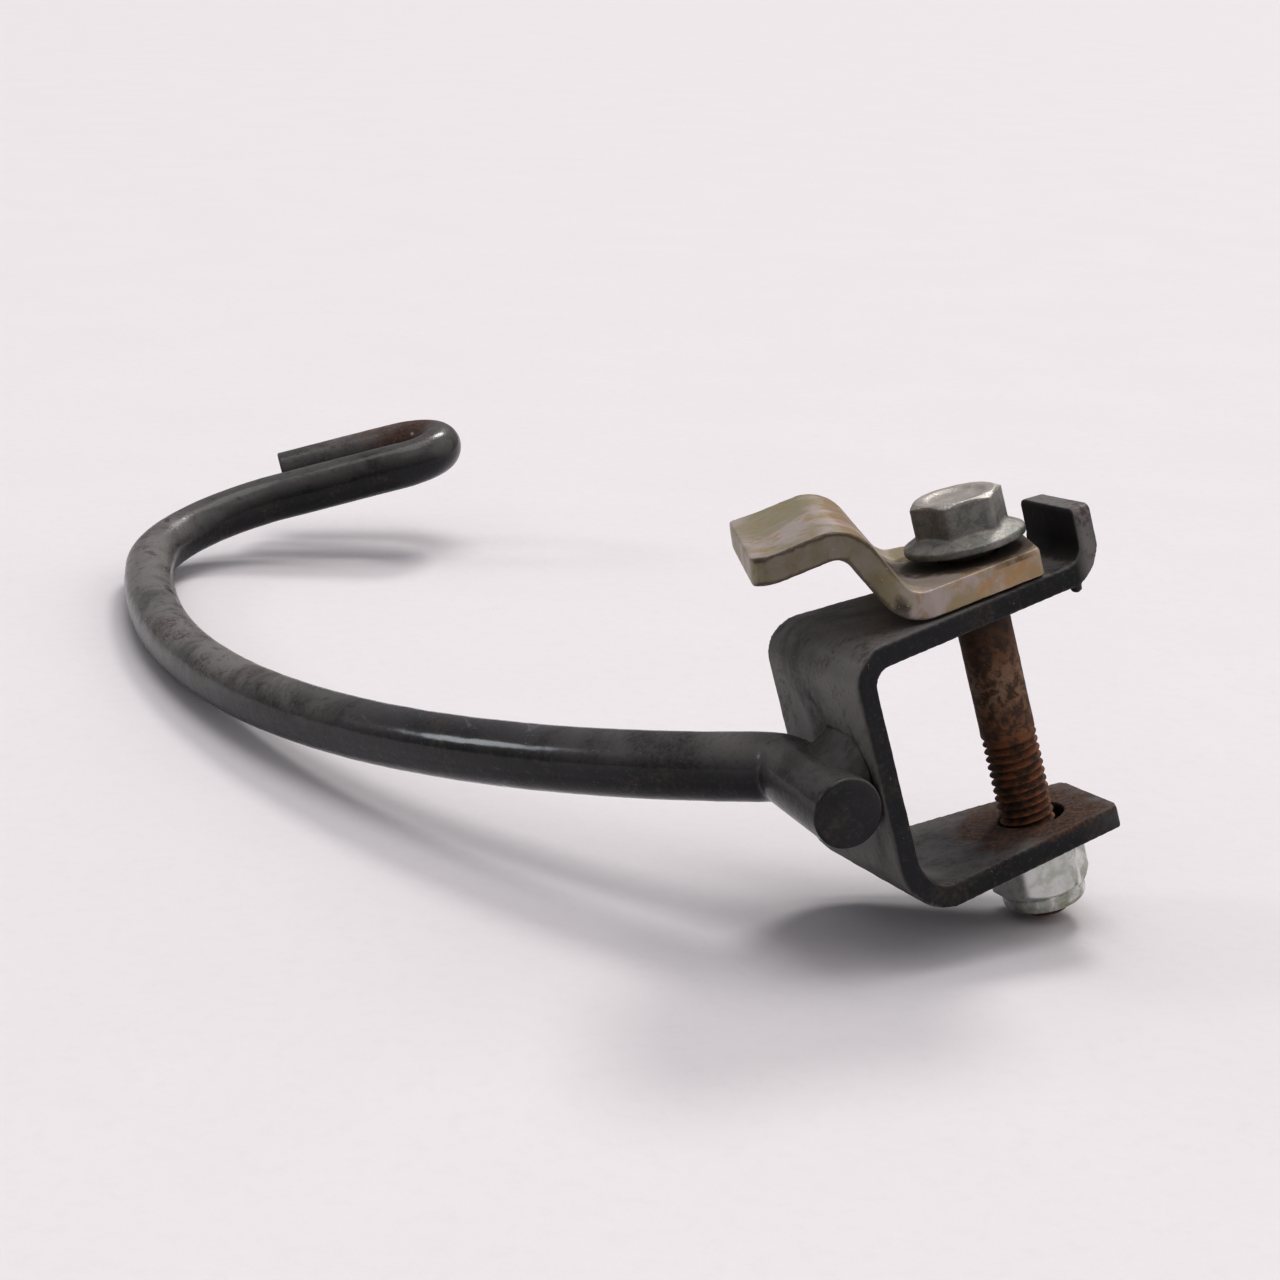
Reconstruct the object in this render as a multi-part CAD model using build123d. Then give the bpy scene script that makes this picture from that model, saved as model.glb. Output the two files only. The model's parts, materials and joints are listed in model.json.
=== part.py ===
from build123d import *
import math
import os

os.makedirs("parts", exist_ok=True)

# All sizes are in millimetres and all angles in degrees.
# Every piece is drawn in the clamp's own frame: the origin is where the bolt axis meets
# the upper face of the lower flange, +X runs towards the open end, +Z towards the bolt head.
# The finished assembly is then tipped into the attitude it rests in on a level floor.

# Clamp bracket, bent from flat bar
BAR_THICKNESS = 4.2
BAR_WIDTH = 40.0
CLAMP_GAP = 40.5
WEB_OUTER_X = -34.0
LOWER_END_X = 13.2
LIP_OUTER_X = 20.6
LIP_HEIGHT = 9.3
TIP_WIDTH = 17.8
LOWER_BEND_RADIUS = 7.0
UPPER_BEND_RADIUS = 3.0
LIP_BEND_RADIUS = 3.0
FLANGE_CORNER = 1.6
LIP_CORNER = 1.0
LOWER_HOLE_RADIUS = 6.0
LOWER_HOLE_SHIFT = 0.7
UPPER_HOLE_RADIUS = 5.6

# Hook rod, bent from round bar
ROD_RADIUS = 6.35
ROD_AXIS_Z = 21.3
ROD_RISE = 6.2
ROD_START_Y = -20.0
ROD_WELDED_LENGTH = 23.3
ROD_LEAD_RADIUS = 9.0
ROD_LEAD_ANGLE = 42.0
ROD_LEAD_LENGTH = 5.5
ROD_ARM_RADIUS = 275.0
ROD_ARM_ANGLE = 55.0
ROD_CROOK_RADIUS = 37.4
ROD_CROOK_ANGLE = 87.2
ROD_LEG_LENGTH = 34.0
ROD_RETURN_RADIUS = 11.6
ROD_TAIL_LENGTH = 33.0
ROD_END_CHAMFER = 0.7

# Weld beads between the rod and the web
BEAD_RADIUS = 3.2
BEAD_START_Y = -17.5
BEAD_LENGTH = 24.0
BEAD_OFFSET_X = 1.9
BEAD_OFFSET_Z = 5.7
BEAD_END_ROUND = 1.9

# Clip strap
CLIP_THICKNESS = 5.0
CLIP_WIDTH = 38.0
CLIP_TIP_WIDTH = 18.4
CLIP_SEAT_GAP = 0.3
CLIP_YAW = -16.0
CLIP_END = 11.1
CLIP_FLAT_END = -11.0
CLIP_TAPER_START = -10.5
CLIP_BEND_RADIUS = 6.0
CLIP_RISE_ANGLE = 63.4
CLIP_RISE_LENGTH = 8.6
CLIP_CREST_RADIUS = 5.5
CLIP_CREST_ANGLE = 71.4
CLIP_TAIL_LENGTH = 7.0
CLIP_FLICK_RADIUS = 25.0
CLIP_FLICK_ANGLE = 14.0
CLIP_TIP_CORNER = 3.0
CLIP_END_CORNER = 1.5
CLIP_HOLE_RADIUS = 5.5

# Flange bolt, M10 x 70
BOLT_RADIUS = 5.0
BOLT_PITCH = 1.5
BOLT_LENGTH = 70.0
BOLT_THREAD_LENGTH = 35.0
BOLT_THREAD_DEPTH = 0.9
BOLT_CREST_FLAT = 0.2
BOLT_POINT = 1.2
BOLT_HEAD_GAP = 1.8
HEAD_FLANGE_RADIUS = 10.9
HEAD_RIM = 1.6
HEAD_RIM_CHAMFER = 0.4
HEAD_CONE_HEIGHT = 3.2
HEAD_CONE_RADIUS = 7.7
HEAD_HEIGHT = 9.2
HEAD_FLATS = 15.0
HEAD_TURN = -10.0
HEAD_CROWN_INSET = 1.0
HEAD_CROWN_ANGLE = 30.0
HEAD_DISH = 0.5
HEAD_DISH_WALL = 2.2

# Lock nut with nylon insert, M10
NUT_FLATS = 16.0
NUT_TURN = -13.0
NUT_SEAT_GAP = 0.3
NUT_HEX_HEIGHT = 8.8
NUT_HEIGHT = 12.1
NUT_COLLAR_RADIUS = 7.7
NUT_COLLAR_LIP = 0.6
NUT_COLLAR_ROUND = 1.6
NUT_COLLAR_BEVEL = 0.45
NUT_SEAT_CHAMFER = 0.5
NUT_SEAT_INSET = 0.9
NUT_FOOT_CHAMFER = 0.8
NUT_FOOT_INSET = 1.1
NUT_BORE_CHAMFER = 0.6
NUT_BORE_RADIUS = 5.06
INSERT_RADIUS = 6.6
INSERT_HEIGHT = 2.6

# Smallest distance that counts as apart
TOUCHING = 0.01

# Rest attitude on a level floor
LEAN = -14.2
PITCH = -7.2


def tapered_plan(start_x, start_width, end_x, end_width, height):
    """Prism whose width falls evenly from the web to the open end."""
    outline = Polyline(
        (start_x, -start_width / 2),
        (end_x, -end_width / 2),
        (end_x, end_width / 2),
        (start_x, start_width / 2),
        close=True,
    )
    return extrude(make_face(outline), height, both=True)


def is_lip_corner(edge, lip_top):
    """Whether an edge runs through the bar's thickness at an end of the lip's top."""
    middle = edge.center()
    at_top = abs(middle.Z - lip_top) < TOUCHING
    at_side = abs(middle.Y) > TIP_WIDTH / 4
    return at_top and at_side


def clamp_bracket():
    half = BAR_THICKNESS / 2
    web_x = WEB_OUTER_X + half
    low_z = -half
    top_z = CLAMP_GAP + half
    lip_x = LIP_OUTER_X - half
    lip_top = CLAMP_GAP + BAR_THICKNESS + LIP_HEIGHT
    lower_bend = LOWER_BEND_RADIUS + half
    upper_bend = UPPER_BEND_RADIUS + half
    lip_bend = LIP_BEND_RADIUS + half
    with BuildSketch(Plane.XZ) as section:
        with BuildLine():
            flange = Line((LOWER_END_X, low_z), (web_x + lower_bend, low_z))
            low_arc = JernArc(flange @ 1, (-1, 0), lower_bend, -90)
            web = Line(low_arc @ 1, (web_x, top_z - upper_bend))
            top_arc = JernArc(web @ 1, (0, 1), upper_bend, -90)
            top = Line(top_arc @ 1, (lip_x - lip_bend, top_z))
            lip_arc = JernArc(top @ 1, (1, 0), lip_bend, 90)
            Line(lip_arc @ 1, (lip_x, lip_top))
        trace(line_width=BAR_THICKNESS)
    body = extrude(section.sketch, BAR_WIDTH / 2, both=True)
    body &= tapered_plan(WEB_OUTER_X, BAR_WIDTH, LIP_OUTER_X, TIP_WIDTH, 3 * CLAMP_GAP)
    flange_end = body.faces().filter_by(lambda f: abs(f.center().X - LOWER_END_X) < TOUCHING)
    body = fillet(flange_end.edges().filter_by(Axis.Z), FLANGE_CORNER)
    body = fillet(body.edges().filter_by(lambda e: is_lip_corner(e, lip_top)), LIP_CORNER)
    body -= Pos(LOWER_HOLE_SHIFT, 0, low_z) * Cylinder(LOWER_HOLE_RADIUS, 2 * BAR_THICKNESS)
    body -= Pos(0, 0, top_z) * Cylinder(UPPER_HOLE_RADIUS, 2 * BAR_THICKNESS)
    return body


def rod_place():
    """Where the rod's bending plane sits against the web."""
    return Pos(WEB_OUTER_X - ROD_RADIUS, 0, ROD_AXIS_Z) * Rot(X=ROD_RISE)


def hook_rod():
    welded = Line((0, ROD_START_Y), (0, ROD_START_Y + ROD_WELDED_LENGTH))
    lead = JernArc(welded @ 1, welded % 1, ROD_LEAD_RADIUS, ROD_LEAD_ANGLE)
    link = Line(lead @ 1, lead @ 1 + (lead % 1) * ROD_LEAD_LENGTH)
    arm = JernArc(link @ 1, link % 1, ROD_ARM_RADIUS, -ROD_ARM_ANGLE)
    crook = JernArc(arm @ 1, arm % 1, ROD_CROOK_RADIUS, -ROD_CROOK_ANGLE)
    leg = Line(crook @ 1, crook @ 1 + (crook % 1) * ROD_LEG_LENGTH)
    turn_back = JernArc(leg @ 1, leg % 1, ROD_RETURN_RADIUS, 180)
    tail = Line(turn_back @ 1, turn_back @ 1 + (turn_back % 1) * ROD_TAIL_LENGTH)
    path = Wire([*welded.edges(), *lead.edges(), *link.edges(), *arm.edges(),
                 *crook.edges(), *leg.edges(), *turn_back.edges(), *tail.edges()])
    section = Plane(origin=welded @ 0, z_dir=(0, 1, 0)) * Circle(ROD_RADIUS)
    rod = sweep(section, path=path)
    ends = rod.faces().filter_by(GeomType.PLANE)
    rod = chamfer(ends.edges(), ROD_END_CHAMFER)
    return rod_place() * rod


def weld_bead(side, rod, bracket):
    """Bead in the corner between rod and web; side is +1 above the rod, -1 below."""
    length_axis = Rot(X=-90)
    centre_y = BEAD_START_Y + BEAD_LENGTH / 2
    bar = Cylinder(BEAD_RADIUS, BEAD_LENGTH)
    bar = fillet(bar.edges(), BEAD_END_ROUND)
    bead = rod_place() * Pos(ROD_RADIUS - BEAD_OFFSET_X, centre_y, side * BEAD_OFFSET_Z) * length_axis * bar
    bead = bead - rod - bracket
    return bead.solids().sort_by(SortBy.VOLUME)[-1]


def clip_strap():
    mid_z = CLAMP_GAP + BAR_THICKNESS + CLIP_SEAT_GAP + CLIP_THICKNESS / 2
    with BuildSketch(Plane.XZ) as section:
        with BuildLine():
            flat = Line((CLIP_END, mid_z), (CLIP_FLAT_END, mid_z))
            foot = JernArc(flat @ 1, flat % 1, CLIP_BEND_RADIUS, -CLIP_RISE_ANGLE)
            rise = Line(foot @ 1, foot @ 1 + (foot % 1) * CLIP_RISE_LENGTH)
            crest = JernArc(rise @ 1, rise % 1, CLIP_CREST_RADIUS, CLIP_CREST_ANGLE)
            tail = Line(crest @ 1, crest @ 1 + (crest % 1) * CLIP_TAIL_LENGTH)
            JernArc(tail @ 1, tail % 1, CLIP_FLICK_RADIUS, -CLIP_FLICK_ANGLE)
        trace(line_width=CLIP_THICKNESS)
    body = extrude(section.sketch, CLIP_WIDTH / 2, both=True)
    tip_face = body.faces().filter_by(GeomType.PLANE).sort_by(Axis.X)[0]
    body = fillet(tip_face.edges().filter_by(
        lambda e: abs(e.center().Y) > CLIP_WIDTH / 2 - TOUCHING), CLIP_TIP_CORNER)
    wide = Pos(CLIP_TAPER_START - CLIP_WIDTH, 0, mid_z) * Box(
        2 * CLIP_WIDTH, 2 * CLIP_WIDTH, 2 * CLIP_WIDTH)
    narrow = tapered_plan(CLIP_TAPER_START, CLIP_WIDTH, CLIP_END, CLIP_TIP_WIDTH, 2 * mid_z)
    body &= wide + narrow
    end_face = body.faces().filter_by(Axis.X).sort_by(Axis.X)[-1]
    body = fillet(end_face.edges().filter_by(Axis.Z), CLIP_END_CORNER)
    body -= Pos(0, 0, mid_z) * Cylinder(CLIP_HOLE_RADIUS, 2 * CLIP_THICKNESS)
    return Rot(Z=CLIP_YAW) * body


def hex_prism(flats, height):
    """Hexagonal prism standing on z = 0."""
    return extrude(RegularPolygon(flats / 2, 6, major_radius=False), height)


def flange_bolt():
    seat = CLAMP_GAP + BAR_THICKNESS + CLIP_SEAT_GAP + CLIP_THICKNESS + BOLT_HEAD_GAP
    root = BOLT_RADIUS - BOLT_THREAD_DEPTH
    thread_bottom = -BOLT_LENGTH + BOLT_POINT
    turns = int((BOLT_THREAD_LENGTH - BOLT_POINT) / BOLT_PITCH)
    points = [(0, 0), (BOLT_RADIUS, 0)]
    for turn in range(turns, 0, -1):
        base = thread_bottom + turn * BOLT_PITCH
        points.append((BOLT_RADIUS, base))
        points.append((root, base - BOLT_PITCH / 2))
        points.append((BOLT_RADIUS, base - BOLT_PITCH + BOLT_CREST_FLAT))
    points.append((BOLT_RADIUS, thread_bottom))
    points.append((BOLT_RADIUS - BOLT_POINT, -BOLT_LENGTH))
    points.append((0, -BOLT_LENGTH))
    shank = revolve(Plane.XZ * make_face(Polyline(*points, close=True)), Axis.Z)
    collar = Polyline(
        (0, 0),
        (HEAD_FLANGE_RADIUS - HEAD_RIM_CHAMFER, 0),
        (HEAD_FLANGE_RADIUS, HEAD_RIM_CHAMFER),
        (HEAD_FLANGE_RADIUS, HEAD_RIM),
        (HEAD_CONE_RADIUS, HEAD_CONE_HEIGHT),
        (0, HEAD_CONE_HEIGHT),
        close=True,
    )
    head = revolve(Plane.XZ * make_face(collar), Axis.Z)
    crown_top = HEAD_FLATS / math.sqrt(3) - HEAD_CROWN_INSET
    crown_spread = HEAD_HEIGHT / math.tan(math.radians(HEAD_CROWN_ANGLE))
    crown = Cone(crown_top + crown_spread, crown_top, HEAD_HEIGHT,
                 align=(Align.CENTER, Align.CENTER, Align.MAX))
    hexagon = Rot(Z=HEAD_TURN) * hex_prism(HEAD_FLATS, HEAD_HEIGHT)
    hexagon &= Pos(0, 0, HEAD_HEIGHT) * crown
    dish = Pos(0, 0, HEAD_HEIGHT) * Cylinder(HEAD_FLATS / 2 - HEAD_DISH_WALL, 2 * HEAD_DISH)
    return Pos(0, 0, seat) * (shank + head + hexagon - dish)


def nut_profile():
    """Half section of the nut's round envelope, collar downwards."""
    corner = NUT_FLATS / math.sqrt(3)
    outline = Polyline(
        (NUT_BORE_RADIUS + NUT_BORE_CHAMFER, 0),
        (corner - NUT_SEAT_INSET, 0),
        (corner, -NUT_SEAT_CHAMFER),
        (corner, -NUT_HEX_HEIGHT + NUT_FOOT_CHAMFER),
        (corner - NUT_FOOT_INSET, -NUT_HEX_HEIGHT),
        (NUT_COLLAR_RADIUS, -NUT_HEX_HEIGHT),
        (NUT_COLLAR_RADIUS, -NUT_HEIGHT + NUT_COLLAR_ROUND),
        (NUT_COLLAR_RADIUS - NUT_COLLAR_BEVEL, -NUT_HEIGHT + NUT_COLLAR_BEVEL),
        (NUT_COLLAR_RADIUS - NUT_COLLAR_ROUND, -NUT_HEIGHT),
        (INSERT_RADIUS - NUT_COLLAR_LIP, -NUT_HEIGHT),
        (INSERT_RADIUS - NUT_COLLAR_LIP, -NUT_HEIGHT + NUT_COLLAR_LIP),
        (INSERT_RADIUS, -NUT_HEIGHT + NUT_COLLAR_LIP),
        (INSERT_RADIUS, -NUT_HEIGHT + NUT_COLLAR_LIP + INSERT_HEIGHT),
        (NUT_BORE_RADIUS, -NUT_HEIGHT + NUT_COLLAR_LIP + INSERT_HEIGHT),
        (NUT_BORE_RADIUS, -NUT_BORE_CHAMFER),
        close=True,
    )
    return revolve(Plane.XZ * make_face(outline), Axis.Z)


def nut_seat():
    return Pos(0, 0, -BAR_THICKNESS - NUT_SEAT_GAP)


def lock_nut():
    prism = Pos(0, 0, -NUT_HEX_HEIGHT) * Rot(Z=NUT_TURN) * hex_prism(NUT_FLATS, NUT_HEX_HEIGHT)
    collar = Pos(0, 0, -NUT_HEIGHT) * Cylinder(
        NUT_COLLAR_RADIUS, NUT_HEIGHT - NUT_HEX_HEIGHT,
        align=(Align.CENTER, Align.CENTER, Align.MIN))
    return nut_seat() * (nut_profile() & (prism + collar))


def nylon_insert():
    base = -NUT_HEIGHT + NUT_COLLAR_LIP
    ring = Cylinder(INSERT_RADIUS, INSERT_HEIGHT, align=(Align.CENTER, Align.CENTER, Align.MIN))
    ring -= Cylinder(NUT_BORE_RADIUS, INSERT_HEIGHT, align=(Align.CENTER, Align.CENTER, Align.MIN))
    return nut_seat() * Pos(0, 0, base) * ring


def assemble():
    bracket = clamp_bracket()
    rod = hook_rod()
    return {
        "clamp_bracket": bracket,
        "hook_rod": rod,
        "weld_bead_upper": weld_bead(1, rod, bracket),
        "weld_bead_lower": weld_bead(-1, rod, bracket),
        "clip_strap": clip_strap(),
        "flange_bolt": flange_bolt(),
        "lock_nut": lock_nut(),
        "nylon_insert": nylon_insert(),
    }


def rest_attitude(pieces):
    """Tip the assembly, then put the middle of its underside at the origin."""
    tip = Rot(X=PITCH) * Rot(Y=LEAN)
    tipped = {name: tip * shape for name, shape in pieces.items()}
    boxes = [shape.bounding_box() for shape in tipped.values()]
    middle_x = (min(box.min.X for box in boxes) + max(box.max.X for box in boxes)) / 2
    middle_y = (min(box.min.Y for box in boxes) + max(box.max.Y for box in boxes)) / 2
    lowest_z = min(box.min.Z for box in boxes)
    drop = Pos(-middle_x, -middle_y, -lowest_z)
    return {name: drop * shape for name, shape in tipped.items()}


for name, shape in rest_attitude(assemble()).items():
    export_step(shape, f"parts/{name}.step")
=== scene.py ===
import json
import math

import bmesh
import bpy
import numpy as np
from mathutils import Matrix, Vector, noise


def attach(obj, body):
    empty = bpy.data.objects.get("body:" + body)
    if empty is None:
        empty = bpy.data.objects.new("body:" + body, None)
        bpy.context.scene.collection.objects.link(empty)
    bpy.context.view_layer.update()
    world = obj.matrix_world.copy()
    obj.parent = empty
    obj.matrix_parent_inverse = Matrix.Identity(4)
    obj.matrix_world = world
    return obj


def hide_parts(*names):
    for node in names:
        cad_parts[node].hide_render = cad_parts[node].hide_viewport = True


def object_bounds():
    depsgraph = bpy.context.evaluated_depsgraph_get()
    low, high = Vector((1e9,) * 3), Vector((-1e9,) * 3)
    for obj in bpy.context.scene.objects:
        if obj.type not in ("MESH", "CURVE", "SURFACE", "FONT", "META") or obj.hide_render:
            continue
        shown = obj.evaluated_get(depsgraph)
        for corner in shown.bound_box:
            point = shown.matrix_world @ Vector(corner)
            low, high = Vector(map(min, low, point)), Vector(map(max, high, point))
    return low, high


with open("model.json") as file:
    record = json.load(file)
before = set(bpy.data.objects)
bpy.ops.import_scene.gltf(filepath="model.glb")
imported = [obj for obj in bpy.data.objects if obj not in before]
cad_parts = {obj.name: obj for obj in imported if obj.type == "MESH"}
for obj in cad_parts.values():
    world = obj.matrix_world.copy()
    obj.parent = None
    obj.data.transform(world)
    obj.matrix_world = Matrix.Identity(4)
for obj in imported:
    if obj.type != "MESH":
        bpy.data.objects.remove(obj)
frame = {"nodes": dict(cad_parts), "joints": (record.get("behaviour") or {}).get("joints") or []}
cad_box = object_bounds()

# Sizes are in millimetres and angles in degrees, in the clamp's own frame unless a comment says
# otherwise: its origin is where the bolt axis meets the upper face of the lower flange, +X runs
# to the open end, +Y across the bar and +Z towards the bolt head.
MM = 0.001
BOLT_JOINT_HEIGHT = 20.0

# Clamp bracket and clip strap
WEB_OUTER_X = -34.0
CLAMP_GAP = 40.5
BAR_THICKNESS = 4.2
PLATE_VOXEL = 0.40
PLATE_SMOOTHING = 1
PLATE_DENTS = 0.10
PLATE_DENT_SIZE = 5.0
PLATE_PIT_SHARE = 0.4
PLATE_PIT_SIZE = 1.3
PLATE_WELD_DISTANCE = 1e-6
SPATTER_PLACE = (14.9, -8.6, 40.0)
SPATTER_RADIUS = 1.1
SPATTER_FLATNESS = 0.8
LIP_X = 19
LIP_Z = 53
CLIP_YAW = -16.0
CLIP_TAIL_START = -14

# Hook rod: each run is a straight with its length, or a bend with its radius and turn, left
# positive. Its end profile is (share of the radius, depth) from the middle of the cut face out.
ROD_RADIUS = 6.35
ROD_AXIS_Z = 21.3
ROD_RISE = 6.2
ROD_START_Y = -20.0
ROD_RUNS = (
    ("straight", 23.3, 0),
    ("bend", 9.0, 42),
    ("straight", 5.5, 0),
    ("bend", 275.0, -55),
    ("bend", 37.4, -87.2),
    ("straight", 34.0, 0),
    ("bend", 11.6, 180),
    ("straight", 33.0, 0),
)
ROD_STEP = 0.8
ROD_SEGMENTS = 56
ROD_END_PROFILE = ((0.35, 0), (0.7, 0), (0.9, 0), (0.955, 0.08), (0.99, 0.3), (1, 0.6))
ROD_FLATTENING = 0.045
ROD_DENTS = 0.09
ROD_DENT_SIZE = 9.0
ROD_PIT_SHARE = 0.5
ROD_PIT_SIZE = 2.2

# Weld beads in the corners between rod and web: they climb the web and wrap part way round the rod
BEAD_START_Y = -17.4
BEAD_LENGTH = 20.4
BEAD_STEP = 0.35
BEAD_ROOT = (5.95, 2.0)
BEAD_SAG = 0.30
BEAD_RIPPLE = 1.9
BEAD_RIPPLE_DEPTH = 0.16
BEAD_WANDER = 0.10
BEAD_TAPER = 3
BEAD_TOE = (0.5, -0.3)
BEAD_SINK = 0.94
BEAD_TIP_AREA = 0.01
BEAD_FACE_POINTS = 13
BEAD_DENTS = 0.30
BEAD_DENT_SIZE = 2.4
BEAD_RUST = 0.12
BEAD_DUST = 0.45
UPPER_BEAD_CLIMB = 9.4
UPPER_BEAD_WRAP = 106
LOWER_BEAD_CLIMB = 8.0
LOWER_BEAD_WRAP = 96

# Flange bolt
BOLT_SEGMENTS = 72
BOLT_RADIUS = 5.0
BOLT_PITCH = 1.5
BOLT_LENGTH = 70.0
BOLT_SEAT_Z = 51.8
BOLT_POINT = 1.3
THREAD_DEPTH = 0.9
THREAD_TOP_Z = 16.8
THREAD_ROWS_A_TURN = 10
THREAD_CREST_SHARE = 0.12
THREAD_FLANK_SHARE = 0.74
THREAD_RUN_OUT = 1.5
POINT_SLOPE = 1.1
BOLT_DENTS = 0.09
BOLT_DENT_SIZE = 2.4
BOLT_PITS = 0.05
BOLT_PIT_SIZE = 0.9
RUBBED_BAND_Z = 26
HEAD_FLATS = 15.0
HEAD_HEIGHT = 9.2
HEAD_FLANGE_RADIUS = 10.9
HEAD_RIM = 1.6
HEAD_CONE_SLOPE = 2.0
HEAD_TOP_RADIUS = 7.2
CHAMFER_SLOPE = 1.7
HEAD_DISH_RADIUS = 5.3
HEAD_DISH = 0.45
HEX_CORNER_ROUND = 0.10
HEAD_FILLET = 0.12
HEAD_FILLET_REACH = 0.35

# Lock nut and its nylon ring
NUT_SEGMENTS = 72
NUT_SEAT_Z = -4.5
NUT_FLATS = 16.0
NUT_HEX_HEIGHT = 8.8
NUT_HEIGHT = 12.1
NUT_COLLAR_RADIUS = 7.7
NUT_BORE_RADIUS = 5.06
NUT_MOUTH_RADIUS = 6.0
INSERT_RADIUS = 6.6
INSERT_HEIGHT = 2.6
NUT_DENTS = 0.07
NUT_DENT_SIZE = 2.0
COLLAR_CONE_SLOPE = 1.25

# Camera, in the row frame
CAMERA_PLACE = (-151.4, -525.2, 172.8)
CAMERA_AZIMUTH = -19.64
CAMERA_ELEVATION = 16.15
CAMERA_ROLL = 1.65
CAMERA_LENS = 70.3
CAMERA_SENSOR = 36
CAMERA_CLIP_START = 0.01

# Light and floor: the sky is dim at the horizon and bright overhead, before a plain backdrop
SKY_LOW = (0.20, 0.195, 0.205, 1)
SKY_HIGH = (0.70, 0.67, 0.70, 1)
BACKDROP = (0.868, 0.834, 0.853, 1)
WARM_LIGHT = (1.0, 0.985, 0.97)
PICTURE_GAMMA = 0.8
FLOOR_HALF_WIDTH = 9.0

# Surface wear: hollows that old metal has, and how sharply a bend has to curve to count fully
DENT_FADING = 0.7
DENT_FINENESS = 2.1
DENT_LEVELS = 3
CURVE_GAIN = 2.0
SMALLEST_AREA = 1e-6


# ------------------------------------------------------------------ the clamp's frame
def clamp_frame():
    """The clamp's axes and origin in the row frame, from the bolt's joint."""
    turn = next(joint for joint in frame["joints"] if joint["name"] == "bolt_turn")
    up = Vector(turn["axis"]).normalized()
    across = up.cross(Vector((1, 0, 0))).normalized()
    out = across.cross(up)
    origin = Vector(turn["pos_m"]) - up * BOLT_JOINT_HEIGHT * MM
    return np.array([out, across, up]).T, np.array(origin)


AXES, ORIGIN = clamp_frame()


def to_row(points):
    """Clamp millimetres to row metres."""
    return np.asarray(points, float) @ AXES.T * MM + ORIGIN


def to_clamp(points):
    """Row metres to clamp millimetres."""
    return (np.asarray(points, float) - ORIGIN) @ AXES / MM


# ------------------------------------------------------------------ mesh tools
def mesh_object(name, points, faces):
    """New object with its normals facing outwards; points are in row metres."""
    mesh = bpy.data.meshes.new(name)
    mesh.from_pydata([tuple(p) for p in points], [], faces)
    edit = bmesh.new()
    edit.from_mesh(mesh)
    bmesh.ops.recalc_face_normals(edit, faces=edit.faces)
    edit.to_mesh(mesh)
    edit.free()
    mesh.shade_smooth()
    obj = bpy.data.objects.new(name, mesh)
    bpy.context.scene.collection.objects.link(obj)
    return obj


def lattice(name, rings, closed=False):
    """Skin over rings of points in clamp millimetres, with end caps unless it closes on itself."""
    rings = np.array(rings, float)
    count, around = rings.shape[:2]
    faces = []
    for i in range(count if closed else count - 1):
        low = i * around
        high = (i + 1) % count * around
        for k in range(around):
            following = (k + 1) % around
            faces.append((low + k, low + following, high + following, high + k))
    points = rings.reshape(-1, 3)
    if not closed:
        points = np.vstack([points, rings[0].mean(0), rings[-1].mean(0)])
        last = (count - 1) * around
        for k in range(around):
            following = (k + 1) % around
            faces.append((count * around, following, k))
            faces.append((count * around + 1, last + k, last + following))
    return mesh_object(name, to_row(points), faces)


def vertex_array(obj):
    values = np.zeros(len(obj.data.vertices) * 3)
    obj.data.vertices.foreach_get("co", values)
    return values.reshape(-1, 3)


def normal_array(obj):
    values = np.zeros(len(obj.data.vertices) * 3)
    obj.data.vertices.foreach_get("normal", values)
    return values.reshape(-1, 3)


def edge_array(obj):
    values = np.zeros(len(obj.data.edges) * 2, int)
    obj.data.edges.foreach_get("vertices", values)
    return values.reshape(-1, 2)


def set_vertices(obj, points):
    obj.data.vertices.foreach_set("co", np.asarray(points, float).ravel())
    obj.data.update()


def neighbour_mean(values, edges):
    """Mean of each vertex's neighbours."""
    total = np.zeros_like(values)
    np.add.at(total, edges[:, 0], values[edges[:, 1]])
    np.add.at(total, edges[:, 1], values[edges[:, 0]])
    degree = np.bincount(edges.ravel(), minlength=len(values)).astype(float)
    degree[degree == 0] = 1
    return total / (degree if values.ndim == 1 else degree[:, None])


def smooth(obj, passes, share=0.5):
    """Moves each vertex part of the way to the middle of its neighbours."""
    points = vertex_array(obj)
    edges = edge_array(obj)
    for _ in range(passes):
        points += share * (neighbour_mean(points, edges) - points)
    set_vertices(obj, points)


def dent(obj, depth, size, seed):
    """Presses the surface in by up to depth mm, in hollows about size mm across."""
    points = vertex_array(obj)
    shift = Vector((seed * 3.7, seed * 1.9, seed * 5.3))
    places = [Vector(point) / (size * MM) + shift for point in points]
    waves = [noise.fractal(place, DENT_FADING, DENT_FINENESS, DENT_LEVELS) for place in places]
    amount = 0.5 + 0.5 * np.array(waves)
    set_vertices(obj, points - normal_array(obj) * unit(amount)[:, None] * depth * MM)


def store(obj, name, values):
    """Keeps one number per vertex for the materials to read."""
    attribute = obj.data.attributes.new(name, "FLOAT", "POINT")
    attribute.data.foreach_set("value", np.asarray(values, np.float32))


def mark_curvature(obj, passes=2):
    """Stores how sharply the surface bends: crest on outward edges, hollow in corners."""
    points = vertex_array(obj) / MM
    edges = edge_array(obj)
    inward = neighbour_mean(points, edges) - points
    span = ((points[edges[:, 0]] - points[edges[:, 1]]) ** 2).sum(1)
    area = np.bincount(edges.ravel(), np.repeat(span, 2), len(points))
    area /= np.maximum(np.bincount(edges.ravel(), minlength=len(points)), 1)
    bend = -(inward * normal_array(obj)).sum(1) / np.maximum(area, SMALLEST_AREA)
    for _ in range(passes):
        bend = 0.5 * bend + 0.5 * neighbour_mean(bend, edges)
    store(obj, "crest", unit(bend * CURVE_GAIN))
    store(obj, "hollow", unit(-bend * CURVE_GAIN))


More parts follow.
